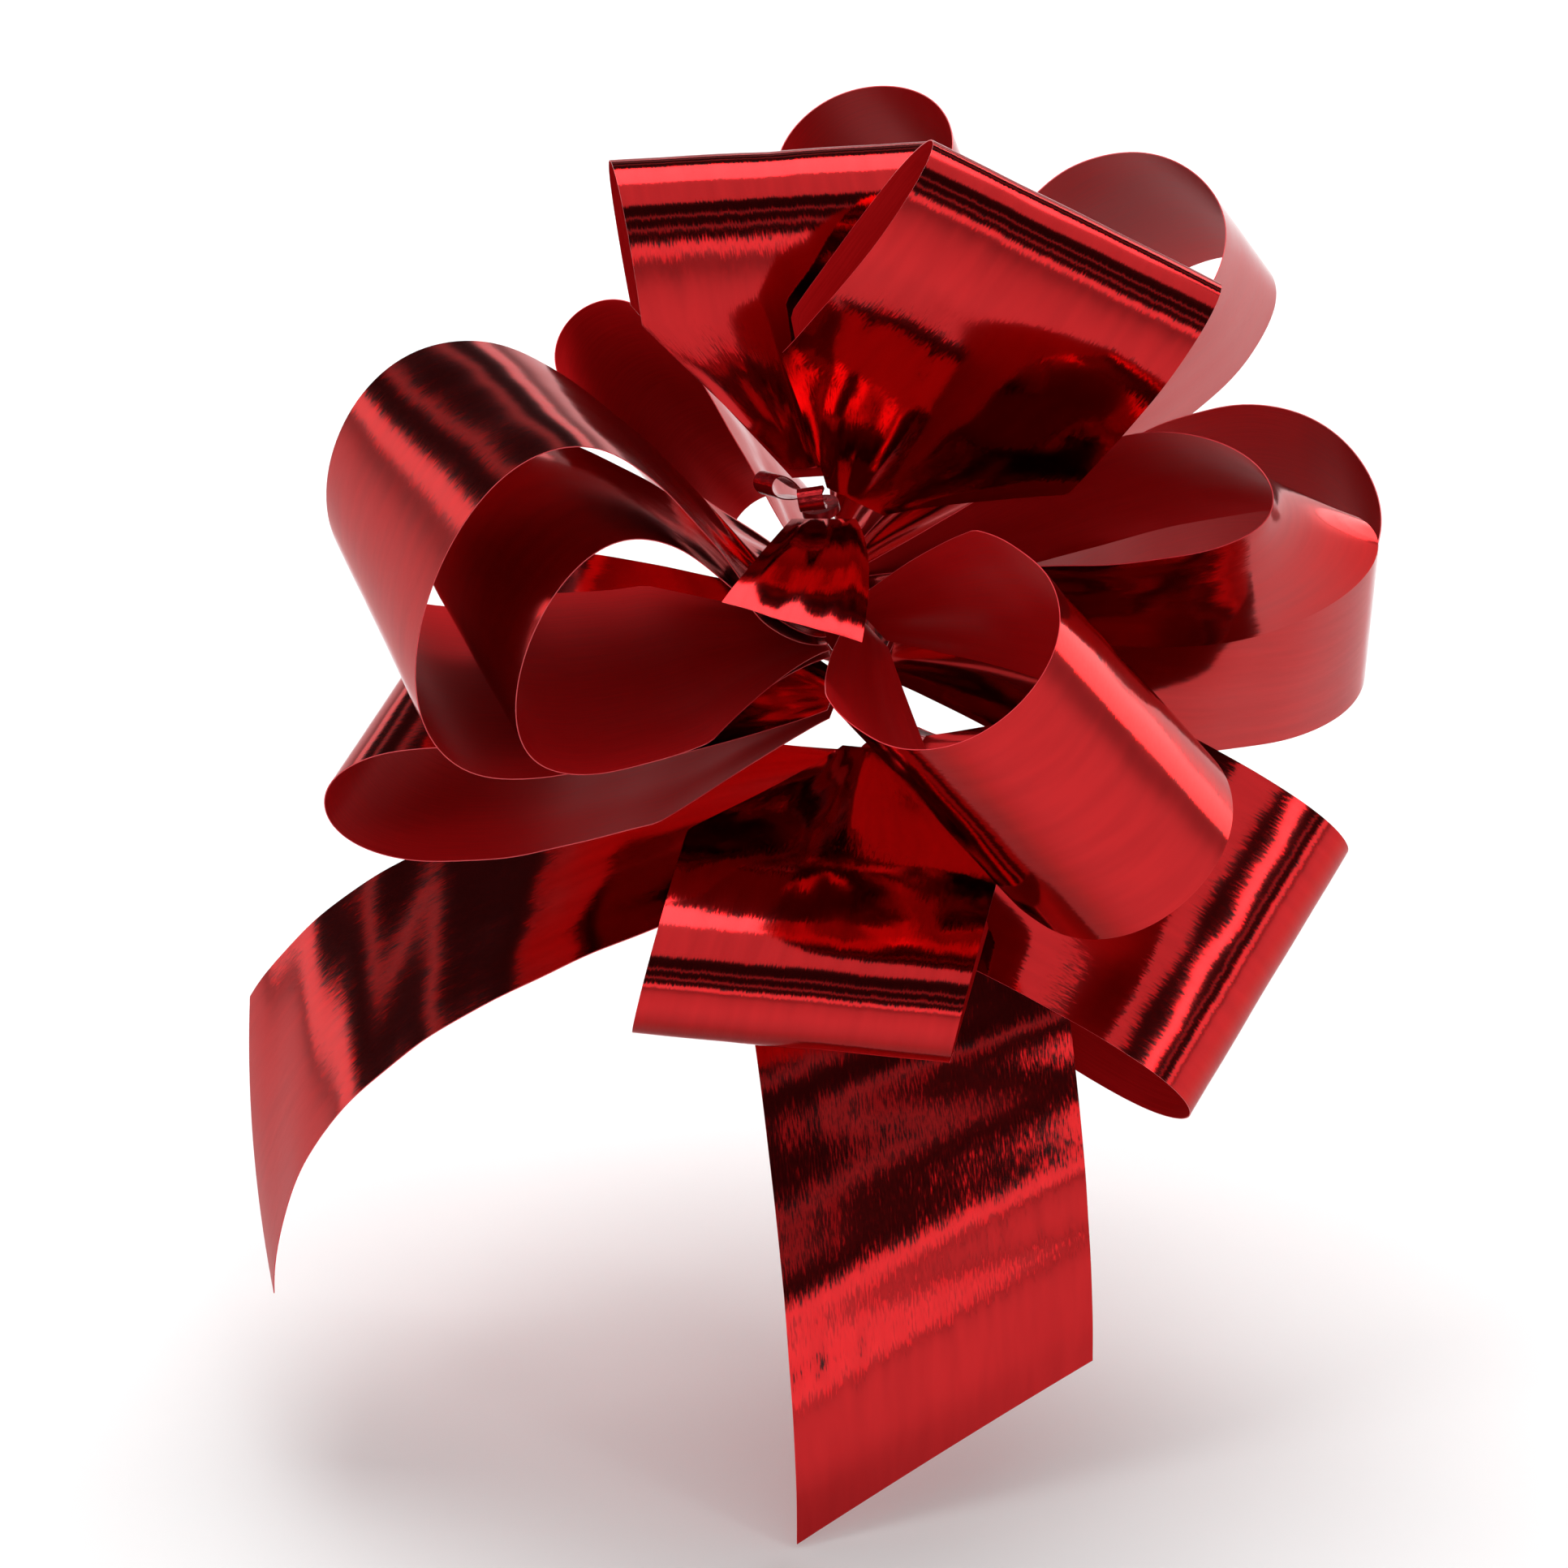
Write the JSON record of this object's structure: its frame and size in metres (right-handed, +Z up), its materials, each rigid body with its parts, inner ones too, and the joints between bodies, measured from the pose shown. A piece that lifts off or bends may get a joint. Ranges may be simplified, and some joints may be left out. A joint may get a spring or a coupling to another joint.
{
  "type": "pull bow",
  "caption": "Ready-made gift bow of metallic ribbon film: loops gathered on a short column by two pull strings, with two long hanging tails.",
  "frame": {"origin": "foot of the weld column, where the bow is tied to a parcel", "axes": "+Z up; -Y toward the front, where the tail_lower tail and the front loop face; the column leans 12 degrees toward -X"},
  "size_m": [0.1796, 0.1731, 0.2299],
  "materials": {
    "foil": "mirror-bright metallised film outside, satin red film inside",
    "weld_film": "film crushed and fused at the weld",
    "string": "thin flat film ribbon"
  },
  "bodies": {
    "column": {"weld_1": "weld_film", "weld_2": "weld_film", "weld_3": "weld_film", "weld_4": "weld_film", "weld_5": "weld_film", "weld_6": "weld_film", "weld_7": "weld_film", "weld_8": "weld_film", "pull_string_front": "string", "pull_string_back": "string", "string_knot": "string", "string_end_left": "string", "string_end_right": "string"},
    "loop_top_front": {"loop_top_front": "foil"},
    "loop_top_right": {"loop_top_right": "foil"},
    "loop_back_top": {"loop_back_top": "foil"},
    "loop_back_left": {"loop_back_left": "foil"},
    "loop_front": {"loop_front": "foil"},
    "loop_back_right": {"loop_back_right": "foil"},
    "loop_right_front": {"loop_right_front": "foil"},
    "loop_left_large": {"loop_left_large": "foil"},
    "loop_left_inner": {"loop_left_inner": "foil"},
    "loop_right_large": {"loop_right_large": "foil"},
    "loop_left_lower": {"loop_left_lower": "foil"},
    "loop_base_back": {"loop_base_back": "foil"},
    "loop_back_under": {"loop_back_under": "foil"},
    "loop_base_front": {"loop_base_front": "foil"},
    "loop_base_right": {"loop_base_right": "foil"},
    "tail_left": {"tail_left": "foil"},
    "tail_lower": {"tail_lower": "foil"},
    "end_flap": {"end_flap": "foil"}
  },
  "joints": [
    {"name": "loop_top_front_flex", "type": "hinge", "parent": "column", "child": "loop_top_front", "pos_m": [-0.00917, 0.00184, 0.05004], "axis": [0.99, 0.141, -0.009], "range_deg": [-2, 2], "stiffness_Nm_per_rad": 0.2},
    {"name": "loop_top_right_flex", "type": "hinge", "parent": "column", "child": "loop_top_right", "pos_m": [-0.00422, -0.00252, 0.04789], "axis": [0.8899, -0.1017, -0.4447], "range_deg": [-1, 1], "stiffness_Nm_per_rad": 0.2},
    {"name": "loop_back_top_flex", "type": "hinge", "parent": "column", "child": "loop_back_top", "pos_m": [-0.00662, 0.00559, 0.03791], "axis": [0.2215, 0.2795, -0.9343], "range_deg": [-2, 2], "stiffness_Nm_per_rad": 0.2},
    {"name": "loop_back_left_flex", "type": "hinge", "parent": "column", "child": "loop_back_left", "pos_m": [-0.00761, 0.0046, 0.0264], "axis": [-0.5473, -0.1974, 0.8133], "range_deg": [-2, 2], "stiffness_Nm_per_rad": 0.2},
    {"name": "loop_front_flex", "type": "hinge", "parent": "column", "child": "loop_front", "pos_m": [-0.00169, -0.00692, 0.0273], "axis": [0.543, 0.2294, -0.8078], "range_deg": [-1, 1], "stiffness_Nm_per_rad": 0.2},
    {"name": "loop_back_right_flex", "type": "hinge", "parent": "column", "child": "loop_back_right", "pos_m": [-0.00347, 0.00301, 0.03476], "axis": [-0.002, 0.5331, -0.8461], "range_deg": [-2, 2], "stiffness_Nm_per_rad": 0.2},
    {"name": "loop_right_front_flex", "type": "hinge", "parent": "column", "child": "loop_right_front", "pos_m": [-0.0017, -0.0012, 0.03122], "axis": [-0.3815, -0.5341, 0.7544], "range_deg": [-1, 1], "stiffness_Nm_per_rad": 0.2},
    {"name": "loop_left_large_flex", "type": "hinge", "parent": "column", "child": "loop_left_large", "pos_m": [-0.00895, -0.00056, 0.02215], "axis": [0.1546, -0.9838, 0.0913], "range_deg": [-2, 2], "stiffness_Nm_per_rad": 0.2},
    {"name": "loop_left_inner_flex", "type": "hinge", "parent": "column", "child": "loop_left_inner", "pos_m": [-0.00895, -0.00056, 0.02215], "axis": [0.1546, -0.9838, 0.0913], "range_deg": [-2, 2], "stiffness_Nm_per_rad": 0.2},
    {"name": "loop_right_large_flex", "type": "hinge", "parent": "column", "child": "loop_right_large", "pos_m": [0.00089, 0.00207, 0.01701], "axis": [0.2239, -0.4027, 0.8875], "range_deg": [-2, 2], "stiffness_Nm_per_rad": 0.2},
    {"name": "loop_left_lower_flex", "type": "hinge", "parent": "column", "child": "loop_left_lower", "pos_m": [-0.00709, 0.00118, 0.00999], "axis": [-0.2213, -0.9709, -0.0917], "range_deg": [-2, 2], "stiffness_Nm_per_rad": 0.2},
    {"name": "loop_base_back_flex", "type": "hinge", "parent": "column", "child": "loop_base_back", "pos_m": [0.00224, 0.00465, 0.00262], "axis": [0.8147, -0.5712, 0.1001], "range_deg": [-2, 2], "stiffness_Nm_per_rad": 0.2},
    {"name": "loop_back_under_flex", "type": "hinge", "parent": "column", "child": "loop_back_under", "pos_m": [-0.00122, 0.00862, 0.01218], "axis": [-0.9587, 0.1426, -0.2462], "range_deg": [-2, 2], "stiffness_Nm_per_rad": 0.2},
    {"name": "loop_base_front_flex", "type": "hinge", "parent": "column", "child": "loop_base_front", "pos_m": [-0.00091, -0.00475, 0.00315], "axis": [0.9871, 0.0667, -0.1458], "range_deg": [-1, 1], "stiffness_Nm_per_rad": 0.2},
    {"name": "loop_base_right_flex", "type": "hinge", "parent": "column", "child": "loop_base_right", "pos_m": [0.00479, -0.00156, -0.00114], "axis": [0.5034, 0.6333, 0.5877], "range_deg": [-2, 2], "stiffness_Nm_per_rad": 0.2},
    {"name": "tail_left_flex", "type": "hinge", "parent": "column", "child": "tail_left", "pos_m": [-0.005, 0, -0.002], "axis": [0, -1, 0], "range_deg": [-4, 4], "stiffness_Nm_per_rad": 0.2},
    {"name": "tail_lower_flex", "type": "hinge", "parent": "column", "child": "tail_lower", "pos_m": [0, -0.008, -0.008], "axis": [1, 0, 0], "range_deg": [-3, 3], "stiffness_Nm_per_rad": 0.2},
    {"name": "end_flap_flex", "type": "hinge", "parent": "column", "child": "end_flap", "pos_m": [-0.009, -0.008, 0.047], "axis": [1, 0, 0], "range_deg": [-3, 3], "stiffness_Nm_per_rad": 0.2}
  ],
  "couplings": [
    {"joint": "loop_left_inner_flex", "follows": "loop_left_large_flex", "ratio": 1}
  ]
}
